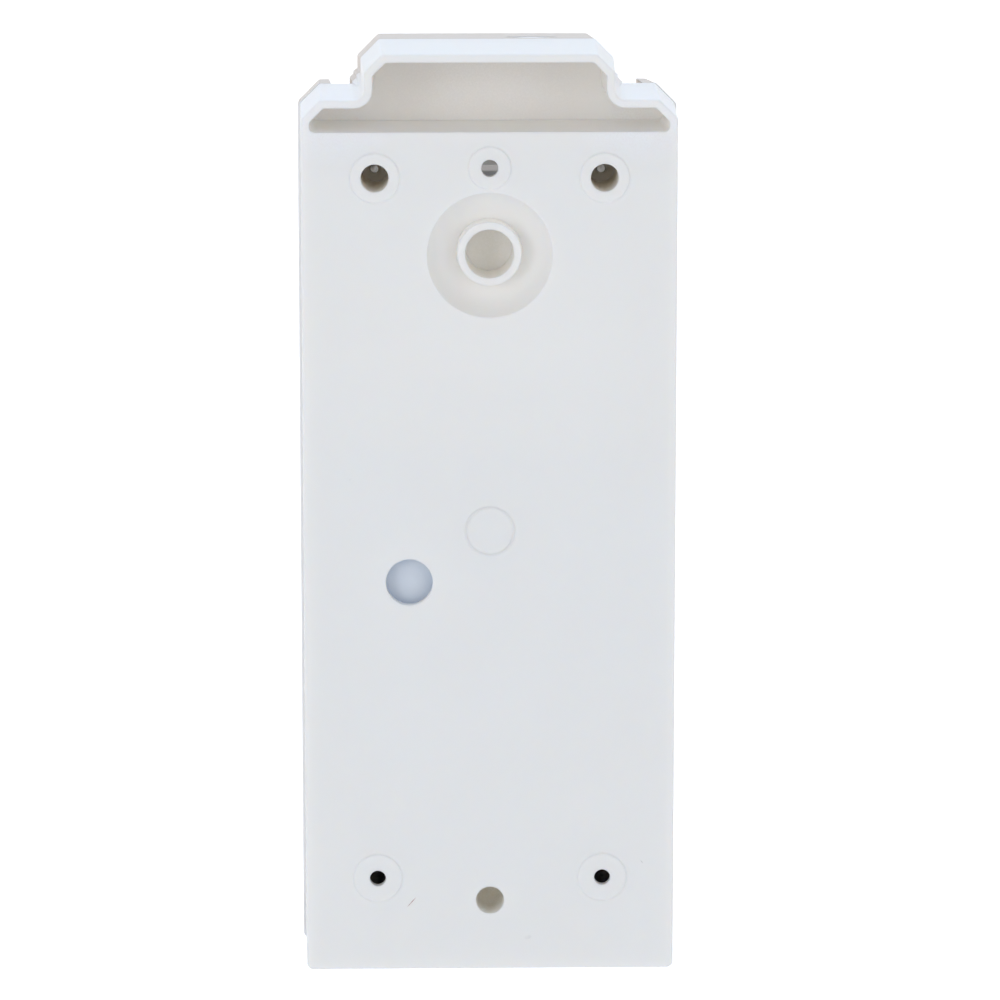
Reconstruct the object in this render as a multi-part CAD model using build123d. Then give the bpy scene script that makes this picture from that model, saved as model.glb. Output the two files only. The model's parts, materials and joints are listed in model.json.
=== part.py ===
from build123d import *
from dataclasses import dataclass
from math import radians, sqrt, tan
import os

# Sizes are in millimetres. The origin is the mouth of the hanging hole on the wall plane.
# Depth is measured from the wall towards the front, so a depth of 10 lies at Y = -10.

# Body
BODY_WIDTH = 114.6
BODY_HEIGHT = 286.6
BODY_DEPTH = 114.0
WALL = 2.5

# Crown outline at the wall
DOME_RISE = 34.6
SHOULDER_Z = 20.8
SHOULDER_WIDTH = 19.2
SIDE_CUT = 5.8
DOME_CUT = 5.5
NECK_ROUND = 3.1
CORNER_ROUND = 2.0
INNER_CORNER_ROUND = 0.6
SOFT_ROUND = 1.2
RIM_ROUND = 0.8

# Growth of the outline between the wall and the front of the back shell
SHELL_DEPTH = 37.0
SHELL_FLARE = 0.8
SHELL_RISE = 1.4
NECK_FLARE = 1.2
SHELL_CUT_GROWTH = 0.3

# Small ledges where the dome meets the shoulders
STEP_WIDTH = 1.3
STEP_TOP = 3.6
STEP_UPPER = 2.8
STEP_LEDGE = 1.8
STEP_LOWER = 0.6
STEP_FADE = 0.2
STEP_FADE_LENGTH = 14.0
STEP_SETBACK = 0.4

# Front cover
COVER_GAP = 0.3
COVER_PROUD = 0.8
COVER_FLARE = 1.2
COVER_NECK_FLARE = 1.6
COVER_CUT_GROWTH = 0.6
FRONT_SIDE_CUT_GROWTH = 1.1
FRONT_DOME_CUT_GROWTH = 1.4
DOME_FALL = 5.2
SHOULDER_FALL = 6.2
UNDERSIDE_RISE = 0.1
UNDERSIDE_FALL = 1.0
CROWN_RADIUS = 300.0
COVER_ROUND = 1.2
COVER_ROUND_ZONE = 2.0
GROOVE_INSET = 7.3
GROOVE_WIDTH = 6.6
GROOVE_DEPTH = 3.0
GROOVE_START = 0.2

# Wall side of the back shell
PAD_RISE = 0.4
PAD_EDGE = 0.3
PAD_RADIUS = 7.7
HANG_PAD_RADIUS = 6.65
HANG_HOLE_RADIUS = 2.6
SCREW_SPACING = 70.0
WALL_SCREW_RADIUS = 2.5
WALL_SCREW_RISE = 29.5
TOWER_Z = -3.0
TOWER_HOLE_RADIUS = 4.25
TOWER_DEPTH = 30.0
TOWER_RIB = 1.6
TOWER_RIB_SETBACK = 6.0
CORE_HOLE_RADIUS = 4.35
CORE_HOLE_RISE = 22.2
CORE_HOLE_DEPTH = 16.0
SIGHT_HOLE_X = 24.85
SIGHT_HOLE_Z = -128.3
SIGHT_HOLE_RADIUS = 7.2
RING_Z = -112.4
RING_RADIUS = 7.45
RING_RISE = 0.2
RING_WIDTH = 0.5
BOSS_WALL = 2.25
POCKET_FLOOR_Z = 11.0
POCKET_DEPTH = 34.0
POCKET_DRAFT = 0.4
POCKET_ROUND = 1.6

# Dished recess with its middle tube
DISH_Z = -26.7
DISH_RADIUS = 19.2
DISH_DEPTH = 10.0
DISH_SAG = 1.8
DISH_BOSS_DRAFT = 0.5
DISH_TUBE_RADIUS = 9.8
DISH_TUBE_BORE = 7.5
DISH_TUBE_INSET = 3.6
DISH_TUBE_FLOOR = 18.5
DISH_TUBE_DRAFT = 0.3

# Cover hinge
HINGE_RISE = 7.5
HINGE_DEPTH = 40.5
HINGE_PIN_RADIUS = 2.0
HINGE_KNUCKLE_RADIUS = 3.2
EAR_INSET = 13.1
EAR_THICKNESS = 3.5
EAR_FOOT = 1.0
EAR_FOOT_SETBACK = 13.0
EAR_NOSE_SETBACK = 7.0
EAR_ROOT_RISE = 6.0
KNUCKLE_THICKNESS = 4.0
NOTCH_REACH = 5.5
PIN_PROUD = 0.7
SIDE_GAP = 0.6
SWEEP_GAP = 0.4
RUNNING_GAP = 0.05

# Pump carrier
SHELF_RISE = 62.0
SHELF_THICKNESS = 3.5
SHELF_FRONT_GAP = 15.0
SHELF_LIP = 2.0
SHELF_LIP_HEIGHT = 5.0
CARRIER_INSET = 14.3
CARRIER_FOOT = 6.0
CARRIER_PLATE = 3.0
CARRIER_STAND = 6.1
CARRIER_SCREW_X = 28.0
CARRIER_SCREW_DROP = 10.0
CARRIER_SCREW_RISE = 12.0
CARRIER_SCREW_RADIUS = 1.25
CARRIER_SCREW_HEAD = 2.6
CARRIER_SCREW_BITE = 4.2
CARRIER_BOSS_RADIUS = 4.0
CORE_BOSS_GAP = 0.6
GUSSET_THICKNESS = 2.5
GUSSET_DROP = 46.0
GUSSET_SETBACK = 8.0
GUSSET_NOSE = 3.0
NECK_GAP = 0.5
SLEEVE_RADIUS = 7.0
SLEEVE_BORE = 4.6
SLEEVE_FRONT = 30.0
SLEEVE_GAP = 0.2

# Screws, with head sizes as shares of the screw's radius or of the head's radius
SCREW_GAP = 0.1
SCREW_TIP_GAP = 0.3
SCREW_HEAD_EDGE = 0.9
SCREW_HEAD_HEIGHT = 1.4
SCREW_HEAD_TOP = 0.7

# Soap bottle
BOTTLE_SIDE_GAP = 4.8
BOTTLE_BACK = 5.2
BOTTLE_UPPER_BACK = 36.0
BOTTLE_FRONT_GAP = 18.0
BOTTLE_TOP_Z = -3.2
BOTTLE_STEP_Z = -64.0
BOTTLE_STEP_RISE = 12.0
BOTTLE_ROUND = 8.0
BOTTLE_END_ROUND = 7.0
BOTTLE_WALL = 1.2
NECK_RADIUS = 14.9
NECK_BORE = 12.5
NECK_LENGTH = 14.0
MOUTH_X = 20.0
MOUTH_RADIUS = 16.0
MOUTH_WALL = 2.0
MOUTH_RISE = 4.0

# Pump
PUMP_DEPTH = 66.0
GASKET_THICKNESS = 1.0
GASKET_INSET = 0.1
CYLINDER_BORE = 8.5
CYLINDER_WALL = 1.7
CYLINDER_FLANGE = 1.5
CYLINDER_ROOF = 2.0
CYLINDER_CHAMFER = 1.0
CAP_RADIUS = 18.5
CAP_FLANGE = 2.0
CAP_CHAMFER = 1.0
CAP_TOP_GAP = 0.5
CAP_NECK_GAP = 0.1
CAP_STEM_GAP = 0.6
FLUTE_COUNT = 24
FLUTE_RADIUS = 1.1
FLUTE_OFFSET = 0.5
FLUTE_START = 2.0
GUIDE_LENGTH = 4.5
STEM_RADIUS = 5.0
STEM_BORE = 2.4
PISTON_LENGTH = 10.0
PISTON_RADIUS = 7.4
SEAL_GAP = 0.08
SEAL_LAND = 2.5
SEAL_GROOVE = 1.2
SEAL_WAIST = 0.3
SEAL_LIP = 1.0
SEAL_TAPER = 0.8
STROKE = 9.0
STROKE_SPARE = 1.5
BALL_RADIUS = 3.0
BALL_SEAT_BITE = 0.8
CAGE_LENGTH = 8.0
CAGE_ROOM = 2.0
CAGE_BAR = 1.8
SPRING_LENGTH = 15.5
SPRING_RADIUS = 8.0
SPRING_WIRE = 1.1
SPRING_TURNS = 4.5
COLLAR_RADIUS = 15.0
COLLAR_THICKNESS = 3.0
STEM_TAIL = 9.0
NOZZLE_LENGTH = 24.0
NOZZLE_RADIUS = 6.0
NOZZLE_TIP_RADIUS = 4.0
NOZZLE_SHOULDER = 2.0
VALVE_FLANGE = 1.2
VALVE_FIT = 0.05
BILL_GAP = 0.2
BILL_LENGTH = 5.0
BILL_ROOT = 1.0
BILL_LIP = 0.4
BILL_BORE = 0.5

# Push bar
BAR_GAP = 0.8
BAR_PANEL_GAP = 0.1
BAR_WALL = 3.0
BAR_SIDE_WALL = 2.5
BAR_TOP_RISE = 54.5
BAR_PIVOT_INSET = 10.0
BAR_PIVOT_RISE = 49.0
BAR_PIN_RADIUS = 2.0
BAR_PIN_BITE = 5.0
BAR_BOSS_RADIUS = 4.0
BAR_BOSS_LENGTH = 6.0
BAR_WEB_HALF = 3.0
UNDER_OPENING_INSET = 9.5
SURROUND_SETBACK = 7.0
HEADER_SETBACK = 5.0
SCOOP_RADIUS = 120.0
SCOOP_DEPTH = 1.2
SCOOP_MARGIN = 8.0
FORK_GAP = 0.3
FORK_NOSE_RADIUS = 3.0
FORK_INNER = 7.5
FORK_OUTER = 13.0
FORK_PAD_INSET = 11.0
FORK_PAD_DROP = 11.0
FORK_SCREW_X = 8.0
FORK_SCREW_DROP = 7.5
FORK_SCREW_RADIUS = 1.2
FORK_SCREW_HEAD = 2.2
FORK_SCREW_COVER = 1.4

# Level window
WINDOW_WIDTH = 14.0
WINDOW_TOP_Z = -55.0
WINDOW_LENGTH = 95.0
WINDOW_FIT = 0.15
WINDOW_SETBACK = 0.3
WINDOW_FLANGE = 4.0
WINDOW_THICKNESS = 1.6

# Key lock and its strike
LOCK_X = -14.3
LOCK_DEPTH = 58.0
LOCK_SLEEVE_RADIUS = 6.8
LOCK_HEAD_RADIUS = 8.0
LOCK_HEAD_RISE = 0.8
LOCK_HEAD_EDGE = 0.4
LOCK_HEAD_GAP = 0.2
LOCK_BOSS_WALL = 1.2
LOCK_SEAT_Z = 33.2
LOCK_BOSS_Z = 18.0
SLEEVE_TAIL = 3.5
NUT_THICKNESS = 3.0
NUT_MARGIN = 2.4
LOCK_BARREL_RADIUS = 4.5
BARREL_PROUD = 0.5
BARREL_TAIL = 4.0
KEY_SLOT_LENGTH = 6.6
KEY_SLOT_WIDTH = 1.6
KEY_SLOT_DEPTH = 8.0
TANG_RADIUS = 3.0
CAM_Z = 11.0
CAM_THICKNESS = 2.0
CAM_HUB_WALL = 3.0
CAM_ARM_WIDTH = 5.0
CAM_ARM_ANGLE = -32.0
HOOK_RADIUS = 14.6
HOOK_WIDTH = 4.0
HOOK_START_ANGLE = -38.7
HOOK_END_ANGLE = 14.0
CAM_SCREW_RADIUS = 1.2
CAM_SCREW_LENGTH = 9.0
CAM_SCREW_POINT = 1.0
CAM_SCREW_HEAD = 4.2
CAM_SCREW_HEAD_EDGE = 0.4
CAM_SCREW_HEAD_HEIGHT = 1.8
POST_REACH = 11.5
POST_RADIUS = 2.4
POST_PROUD = 1.0
POST_LAND = 5.0
STRIKE_THICKNESS = 2.0
STRIKE_SHELF_Z = 2.5
STRIKE_SHELF_HALF = 9.0
STRIKE_END = 7.0
STRIKE_DROP = 6.5
HANG_ACCESS_RADIUS = 4.6
HANG_ACCESS_Z = -2.4
BRACKET_SCREW_RADIUS = 1.5
BRACKET_SCREW_HEAD = 3.0
BRACKET_SCREW_TIP = 3.0

# How far cuts run past a face, joined features sink into each other, and full cuts reach
CLEAR = 1.0
SINK = 0.5
NUDGE = 0.1
FRONT_ZONE = 14.0
FRONT_SPARE = 2.0
FAR = 400.0

# Places worked out from the sizes above
HALF = BODY_WIDTH / 2
BOTTOM_Z = DOME_RISE - BODY_HEIGHT
FLOOR = PAD_RISE + WALL
TRAY_ROOF_Z = POCKET_FLOOR_Z - WALL
COVER_BACK = SHELL_DEPTH + COVER_GAP
REACH = BODY_DEPTH + FRONT_SPARE
FRONT_START = BODY_DEPTH - FRONT_ZONE
GROOVE_OUTER = HALF - GROOVE_INSET
GROOVE_INNER = GROOVE_OUTER - GROOVE_WIDTH
SCREW_XS = (-SCREW_SPACING / 2, SCREW_SPACING / 2)
WALL_SCREW_Z = BOTTOM_Z + WALL_SCREW_RISE
CORE_HOLE_Z = BOTTOM_Z + CORE_HOLE_RISE
HINGE_Z = BOTTOM_Z + HINGE_RISE
EAR_INNER = HALF - EAR_INSET
EAR_OUTER = EAR_INNER + EAR_THICKNESS
KNUCKLE_INNER = EAR_OUTER + SIDE_GAP
KNUCKLE_OUTER = KNUCKLE_INNER + KNUCKLE_THICKNESS
SHELF_Z = BOTTOM_Z + SHELF_RISE
SHELF_FRONT = BODY_DEPTH - SHELF_FRONT_GAP
CARRIER_HALF = HALF - CARRIER_INSET
CARRIER_SEAT = FLOOR + CARRIER_STAND
CARRIER_SCREW_XS = (-CARRIER_SCREW_X, CARRIER_SCREW_X)
CARRIER_SCREW_ZS = (SHELF_Z - CARRIER_SCREW_DROP, BOTTOM_Z + CARRIER_SCREW_RISE)
BOTTLE_HALF = HALF - WALL - BOTTLE_SIDE_GAP
BOTTLE_FRONT = BODY_DEPTH - BOTTLE_FRONT_GAP
MOUTH_DEPTH = (BOTTLE_UPPER_BACK + BOTTLE_FRONT) / 2
NECK_END_Z = SHELF_Z - NECK_LENGTH
FLANGE_TOP_Z = NECK_END_Z - GASKET_THICKNESS
FLANGE_Z = FLANGE_TOP_Z - CYLINDER_FLANGE
CAP_Z = FLANGE_Z - CAP_FLANGE
PISTON_Z = FLANGE_Z + GUIDE_LENGTH
PISTON_TOP_Z = PISTON_Z + PISTON_LENGTH
CAGE_Z = PISTON_TOP_Z + STROKE + STROKE_SPARE
CYLINDER_ROOF_Z = CAGE_Z + CAGE_LENGTH
COLLAR_TOP_Z = CAP_Z - SPRING_LENGTH
COLLAR_Z = COLLAR_TOP_Z - COLLAR_THICKNESS
NOZZLE_Z = COLLAR_Z - NOZZLE_LENGTH
VALVE_SEAT_Z = COLLAR_Z - STEM_TAIL
FORK_NOSE_Z = COLLAR_Z - FORK_GAP - FORK_NOSE_RADIUS
FORK_PAD_DEPTH = BODY_DEPTH - FORK_PAD_INSET
BAR_TOP_Z = BOTTOM_Z + BAR_TOP_RISE
BAR_PIVOT_DEPTH = BODY_DEPTH - BAR_PIVOT_INSET
BAR_PIVOT_Z = BOTTOM_Z + BAR_PIVOT_RISE
BAR_BOTTOM_Z = BOTTOM_Z + BAR_GAP
BAR_HALF = GROOVE_INNER - BAR_PANEL_GAP - BAR_GAP
OPENING_HALF = BAR_HALF + BAR_GAP
OPENING_TOP_Z = BAR_TOP_Z + BAR_GAP


@dataclass(frozen=True)
class Crown:
    """Body outline: a tall rectangle with cut shoulders and a narrower dome on top."""

    half: float
    neck: float
    top: float
    shoulder: float
    bottom: float
    side_cut: float
    dome_cut: float

    def inset(self, wall):
        trim = wall * (2 - sqrt(2))
        return Crown(
            self.half - wall,
            self.neck - wall,
            self.top - wall,
            self.shoulder - wall,
            self.bottom + wall,
            self.side_cut - trim,
            self.dome_cut - trim,
        )

    def face(self, depth, wall=0.0):
        """Outline at a depth, with its rounds made to suit an inset by the given wall."""
        base = [(self.half, self.bottom)]
        notch = [(self.neck, self.shoulder)]
        side = [(self.half, self.shoulder - self.side_cut), (self.half - self.side_cut, self.shoulder)]
        dome = [(self.neck, self.top - self.dome_cut), (self.neck - self.dome_cut, self.top)]
        right = base + side + notch + dome
        left = [(-x, z) for x, z in reversed(right)]
        flat = make_face(Polyline(*right, *left, close=True))
        flat = round_corners(flat, base, max(CORNER_ROUND - wall, INNER_CORNER_ROUND))
        flat = round_corners(flat, notch, NECK_ROUND + wall)
        flat = round_corners(flat, side + dome, SOFT_ROUND)
        return Plane.XZ.offset(depth) * flat


def round_corners(flat, corners, radius):
    picked = []
    for vertex in flat.vertices():
        for x, z in corners:
            if abs(abs(vertex.X) - x) < NUDGE and abs(vertex.Y - z) < NUDGE:
                picked.append(vertex)
    return fillet(picked, radius)


def rod_y(radius, x, z, near, far):
    return extrude(Plane.XZ.offset(near) * Pos(x, z) * Circle(radius), far - near)


def rod_x(radius, depth, z, start, end):
    return extrude(Plane.YZ.offset(start) * Pos(-depth, z) * Circle(radius), end - start)


def rod_z(radius, x, depth, low, high):
    return extrude(Plane.XY.offset(low) * Pos(x, -depth) * Circle(radius), high - low)


def block(x0, x1, near, far, low, high):
    centre = Pos((x0 + x1) / 2, -(near + far) / 2, (low + high) / 2)
    return centre * Box(x1 - x0, far - near, high - low)


def side_plate(points, x0, x1):
    flat = make_face(Polyline(*[(-depth, z) for depth, z in points], close=True))
    return extrude(Plane.YZ.offset(x0) * flat, x1 - x0)


def turned(points, x, depth):
    """Body of revolution about a vertical axis from radius and height pairs."""
    flat = make_face(Polyline(*points, close=True))
    return Pos(x, -depth, 0) * revolve(Plane.XZ * flat, Axis.Z)


def turned_y(points, x, z):
    """Body of revolution about a horizontal axis from radius and depth pairs."""
    flat = make_face(Polyline(*[(radius, -depth) for radius, depth in points], close=True))
    return Pos(x, 0, z) * revolve(flat, Axis.Y)


def both_sides(part):
    return part + mirror(part, about=Plane.YZ)


def front_round(radius):
    """Large upright cylinder whose front is parallel to the crowned front of the cover."""
    return rod_z(radius, 0, BODY_DEPTH - CROWN_RADIUS, -FAR, FAR)


BACK = Crown(
    half=HALF,
    neck=HALF - SHOULDER_WIDTH,
    top=DOME_RISE,
    shoulder=SHOULDER_Z,
    bottom=BOTTOM_Z,
    side_cut=SIDE_CUT,
    dome_cut=DOME_CUT,
)
SPLIT = Crown(
    half=HALF + SHELL_FLARE,
    neck=BACK.neck + NECK_FLARE,
    top=DOME_RISE + SHELL_RISE,
    shoulder=SHOULDER_Z + SHELL_RISE,
    bottom=BOTTOM_Z - SHELL_FLARE,
    side_cut=SIDE_CUT + SHELL_CUT_GROWTH,
    dome_cut=DOME_CUT + SHELL_CUT_GROWTH,
)
COVER_SPLIT = Crown(
    half=SPLIT.half + COVER_PROUD,
    neck=SPLIT.neck,
    top=SPLIT.top,
    shoulder=SPLIT.shoulder,
    bottom=BOTTOM_Z + UNDERSIDE_RISE,
    side_cut=SIDE_CUT + COVER_CUT_GROWTH,
    dome_cut=SPLIT.dome_cut,
)
COVER_FRONT = Crown(
    half=COVER_SPLIT.half + COVER_FLARE,
    neck=SPLIT.neck + COVER_NECK_FLARE,
    top=SPLIT.top - DOME_FALL,
    shoulder=SPLIT.shoulder - SHOULDER_FALL,
    bottom=COVER_SPLIT.bottom - UNDERSIDE_FALL,
    side_cut=SIDE_CUT + FRONT_SIDE_CUT_GROWTH,
    dome_cut=DOME_CUT + FRONT_DOME_CUT_GROWTH,
)


def neck_step(crown, depth, size):
    """Two small ledges where the dome meets the shoulder."""
    edge = crown.neck
    foot = crown.shoulder
    ledge = edge + STEP_WIDTH * size
    toe = ledge + STEP_WIDTH * size
    points = [
        (edge - CLEAR, foot - CLEAR),
        (edge - CLEAR, foot + STEP_TOP * size),
        (edge, foot + STEP_TOP * size),
        (ledge, foot + STEP_UPPER * size),
        (ledge, foot + STEP_LEDGE * size),
        (toe, foot + STEP_LOWER * size),
        (toe, foot - CLEAR),
    ]
    return Plane.XZ.offset(depth) * make_face(Polyline(*points, close=True))


def pad(radius, x, z):
    points = [(0, 0), (radius - PAD_EDGE, 0), (radius, PAD_RISE), (radius, FLOOR), (0, FLOOR)]
    return turned_y(points, x, z)


def dish_boss():
    """Back of the dish and of its tube, seen from inside the housing."""
    skin = DISH_RADIUS + BOSS_WALL
    points = [
        (0, PAD_RISE),
        (skin, PAD_RISE),
        (skin - DISH_BOSS_DRAFT, DISH_DEPTH + BOSS_WALL),
        (DISH_TUBE_RADIUS, DISH_DEPTH + BOSS_WALL),
        (DISH_TUBE_RADIUS, DISH_TUBE_FLOOR + BOSS_WALL),
        (0, DISH_TUBE_FLOOR + BOSS_WALL),
    ]
    return turned_y(points, 0, DISH_Z)


def dish_hollow():
    """Round bowl that runs in to the foot of the tube, and the tube's bore."""
    rim = (DISH_RADIUS, -PAD_RISE)
    foot = (DISH_TUBE_RADIUS + DISH_TUBE_DRAFT, -DISH_DEPTH)
    bowl = SagittaArc(rim, foot, DISH_SAG)
    rest = Polyline(
        foot,
        (DISH_TUBE_RADIUS, -DISH_TUBE_INSET),
        (DISH_TUBE_BORE, -DISH_TUBE_INSET),
        (DISH_TUBE_BORE - DISH_TUBE_DRAFT, -DISH_TUBE_FLOOR),
        (0, -DISH_TUBE_FLOOR),
        (0, CLEAR),
        (DISH_RADIUS, CLEAR),
        rim,
    )
    return Pos(0, 0, DISH_Z) * revolve(make_face(bowl + rest), Axis.Y)


def core_hole():
    """Blind cored hole with a round end."""
    straight = CORE_HOLE_DEPTH - CORE_HOLE_RADIUS
    hole = rod_y(CORE_HOLE_RADIUS, 0, CORE_HOLE_Z, -CLEAR, straight)
    return hole + Pos(0, -straight, CORE_HOLE_Z) * Sphere(CORE_HOLE_RADIUS)


def tower_ribs():
    """Webs that tie the screw towers to the roof and to the side walls of the tray."""
    half = TOWER_RIB / 2
    near = FLOOR - CLEAR
    far = TOWER_DEPTH - TOWER_RIB_SETBACK
    x = SCREW_SPACING / 2
    upright = block(x - half, x + half, near, far, TOWER_Z, TRAY_ROOF_Z + CLEAR)
    level = block(x, HALF - WALL + CLEAR, near, far, TOWER_Z - half, TOWER_Z + half)
    return both_sides(upright + level)


def hinge_ear():
    low = HINGE_Z - HINGE_KNUCKLE_RADIUS
    high = HINGE_Z + HINGE_KNUCKLE_RADIUS
    points = [
        (PAD_RISE + CLEAR, BOTTOM_Z + EAR_FOOT),
        (SHELL_DEPTH - EAR_FOOT_SETBACK, BOTTOM_Z + EAR_FOOT),
        (SHELL_DEPTH - EAR_NOSE_SETBACK, low),
        (HINGE_DEPTH, low),
        (HINGE_DEPTH, high),
        (PAD_RISE + CLEAR, high + EAR_ROOT_RISE),
    ]
    ear = side_plate(points, EAR_INNER, EAR_OUTER)
    ear += rod_x(HINGE_KNUCKLE_RADIUS, HINGE_DEPTH, HINGE_Z, EAR_INNER, EAR_OUTER)
    return ear - rod_x(HINGE_PIN_RADIUS, HINGE_DEPTH, HINGE_Z, EAR_INNER - CLEAR, EAR_OUTER + CLEAR)


def hinge_sweep():
    """Room at the front lower edge for the underside of the cover as it swings."""
    across = HINGE_DEPTH - COVER_BACK
    sweep = rod_x(sqrt(across**2 + HINGE_RISE**2) + SWEEP_GAP, HINGE_DEPTH, HINGE_Z, -FAR, FAR)
    near = HINGE_DEPTH - HINGE_RISE - SWEEP_GAP
    return sweep + block(-FAR, FAR, near, SHELL_DEPTH + CLEAR, -FAR, HINGE_Z)


def pocket():
    """Recess behind the dome, open to the wall."""
    mouth = BACK.inset(WALL).face(-CLEAR, WALL)
    end = BACK.inset(WALL + POCKET_DRAFT).face(POCKET_DEPTH, WALL + POCKET_DRAFT)
    room = loft([mouth, end], ruled=True)
    room = room & block(-FAR, FAR, -2 * CLEAR, POCKET_DEPTH, POCKET_FLOOR_Z, FAR)
    corners = room.edges().filter_by(lambda edge: abs(edge.center().Z - POCKET_FLOOR_Z) < NUDGE)
    runs = [edge for edge in corners if abs(edge.tangent_at(0.5).Y) > abs(edge.tangent_at(0.5).X)]
    return fillet(runs, POCKET_ROUND)


def tray():
    """Room for the works, open to the front."""
    low = BOTTOM_Z + WALL
    height = TRAY_ROOF_Z - low
    near = Rectangle(2 * (HALF - WALL), height, align=(Align.CENTER, Align.MIN))
    far = Rectangle(2 * (SPLIT.half - WALL), height + SHELL_FLARE, align=(Align.CENTER, Align.MIN))
    near = Plane.XZ.offset(FLOOR) * Pos(0, low) * near
    far = Plane.XZ.offset(SHELL_DEPTH) * Pos(0, low - SHELL_FLARE) * far
    return loft([near, far], ruled=True)


def mark_ring():
    """Faint raised ring on the wall face."""
    outer = RING_RADIUS + RING_WIDTH / 2
    ring = rod_y(outer, 0, RING_Z, PAD_RISE - RING_RISE, PAD_RISE + SINK)
    return ring - rod_y(outer - RING_WIDTH, 0, RING_Z, -CLEAR, PAD_RISE)


def shell_body():
    """Crown-shaped tray with the pocket behind its dome."""
    shell = loft([BACK.face(PAD_RISE), SPLIT.face(SHELL_DEPTH)], ruled=True)
    rim = shell.edges().filter_by(lambda edge: abs(edge.center().Y + PAD_RISE) < NUDGE)
    shell = fillet(rim, RIM_ROUND)
    shell -= tray()
    fade = neck_step(SPLIT, SHELL_DEPTH - STEP_FADE_LENGTH, STEP_FADE)
    step = loft([neck_step(SPLIT, SHELL_DEPTH, 1.0), fade], ruled=True)
    shell += both_sides(step)
    shell -= pocket()
    return shell - hinge_sweep()


def back_shell():
    shell = shell_body()
    for x in SCREW_XS:
        shell += pad(PAD_RADIUS, x, TOWER_Z)
        shell += pad(PAD_RADIUS, x, WALL_SCREW_Z)
        shell += rod_y(TOWER_HOLE_RADIUS + BOSS_WALL, x, TOWER_Z, FLOOR - CLEAR, TOWER_DEPTH)
    shell += tower_ribs()
    shell += pad(HANG_PAD_RADIUS, 0, 0)
    core_end = CORE_HOLE_DEPTH + BOSS_WALL
    shell += rod_y(CORE_HOLE_RADIUS + BOSS_WALL, 0, CORE_HOLE_Z, FLOOR - CLEAR, core_end)
    shell += dish_boss()
    pilot_end = CARRIER_SEAT - CARRIER_SCREW_BITE - SCREW_TIP_GAP
    for x in CARRIER_SCREW_XS:
        for z in CARRIER_SCREW_ZS:
            shell += rod_y(CARRIER_BOSS_RADIUS, x, z, FLOOR - CLEAR, CARRIER_SEAT)
            shell -= rod_y(CARRIER_SCREW_RADIUS, x, z, pilot_end, CARRIER_SEAT + CLEAR)
    shell += mark_ring()
    shell += both_sides(hinge_ear())

    shell -= dish_hollow()
    shell -= core_hole()
    for x in SCREW_XS:
        shell -= rod_y(TOWER_HOLE_RADIUS, x, TOWER_Z, -CLEAR, TOWER_DEPTH - WALL)
        shell -= rod_y(BRACKET_SCREW_RADIUS, x, TOWER_Z, 0, TOWER_DEPTH + CLEAR)
        shell -= rod_y(WALL_SCREW_RADIUS, x, WALL_SCREW_Z, -CLEAR, FLOOR + CLEAR)
    shell -= rod_y(HANG_HOLE_RADIUS, 0, 0, -CLEAR, FLOOR + CLEAR)
    return shell - rod_y(SIGHT_HOLE_RADIUS, SIGHT_HOLE_X, SIGHT_HOLE_Z, -CLEAR, FLOOR + CLEAR)


def pan_screw(radius, head, length):
    """Screw pointing along the depth axis towards the wall, seat of its head at depth 0."""
    points = [
        (0, -length),
        (radius, 2 * radius - length),
        (radius, 0),
        (head, 0),
        (head, SCREW_HEAD_EDGE * radius),
        (SCREW_HEAD_TOP * head, SCREW_HEAD_HEIGHT * radius),
        (0, SCREW_HEAD_HEIGHT * radius),
    ]
    return turned_y(points, 0, 0)


def screw_set(places, radius, head, seat, length):
    """One screw of a kind at each x, z place, with its head on the given depth."""
    screw = pan_screw(radius, head, length)
    return Compound([Pos(x, -seat, z) * screw for x, z in places])


def bracket_screws():
    places = [(x, TOWER_Z) for x in SCREW_XS]
    seat = TOWER_DEPTH + STRIKE_THICKNESS
    length = STRIKE_THICKNESS + WALL + BRACKET_SCREW_TIP
    return screw_set(places, BRACKET_SCREW_RADIUS, BRACKET_SCREW_HEAD, seat, length)


def carrier_screws():
    places = [(x, z) for x in CARRIER_SCREW_XS for z in CARRIER_SCREW_ZS]
    seat = CARRIER_SEAT + CARRIER_PLATE
    length = CARRIER_PLATE + CARRIER_SCREW_BITE
    return screw_set(places, CARRIER_SCREW_RADIUS, CARRIER_SCREW_HEAD, seat, length)


def strike_bracket():
    front = TOWER_DEPTH + STRIKE_THICKNESS
    reach = SCREW_SPACING / 2 + STRIKE_END
    high = STRIKE_SHELF_Z + STRIKE_THICKNESS
    post_depth = LOCK_DEPTH - POST_REACH
    post_top = CAM_Z + CAM_THICKNESS + POST_PROUD
    bracket = block(-reach, reach, TOWER_DEPTH, front, TOWER_Z - STRIKE_DROP, high)
    left = LOCK_X - STRIKE_SHELF_HALF
    right = LOCK_X + STRIKE_SHELF_HALF
    bracket += block(left, right, TOWER_DEPTH, post_depth + POST_LAND, STRIKE_SHELF_Z, high)
    bracket += rod_z(POST_RADIUS, LOCK_X, post_depth, high - CLEAR, post_top)
    bracket -= rod_y(HANG_ACCESS_RADIUS, 0, HANG_ACCESS_Z, TOWER_DEPTH - CLEAR, front + CLEAR)
    for x in SCREW_XS:
        hole = BRACKET_SCREW_RADIUS + SCREW_GAP
        bracket -= rod_y(hole, x, TOWER_Z, TOWER_DEPTH - CLEAR, front + CLEAR)
    return bracket


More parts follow.
